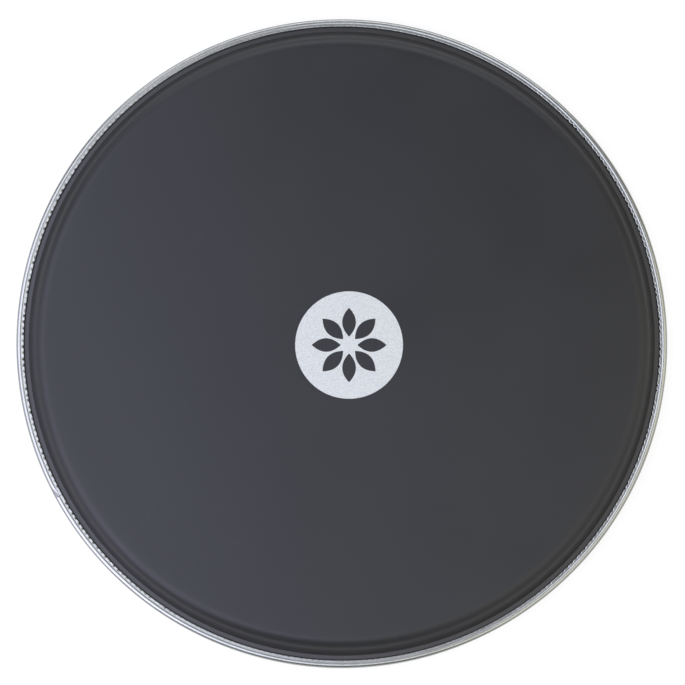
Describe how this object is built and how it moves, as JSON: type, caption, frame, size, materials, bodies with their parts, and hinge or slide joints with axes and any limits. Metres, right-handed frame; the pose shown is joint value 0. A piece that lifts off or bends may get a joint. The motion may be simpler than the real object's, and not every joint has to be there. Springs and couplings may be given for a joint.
{
  "type": "drumhead",
  "caption": "Round drumhead for a frame drum: a black film with a sloping collar, crimped in a rolled aluminium hoop, with a round silver print near its centre.",
  "frame": {"origin": "centre of the hoop's underside, on the hoop's axis", "axes": "+Z along the hoop's axis, out of the playing face; +X to the right as the print is read, with the hoop's seam at the lower left"},
  "size_m": [0.314, 0.314, 0.0148],
  "materials": {
    "black_film": "satin, very fine tooth",
    "hoop_aluminium": "mill-bright, drawn lines along the strip, crimp dents",
    "ring_steel": "drawn wire",
    "resin": "cured amber resin",
    "print_ink": "silver-grey screen ink with fine metallic grain"
  },
  "bodies": {
    "root": {"drum_film": "black_film", "hoop_channel": "hoop_aluminium", "locking_ring": "ring_steel", "channel_resin": "resin", "centre_print": "print_ink"}
  },
  "joints": []
}
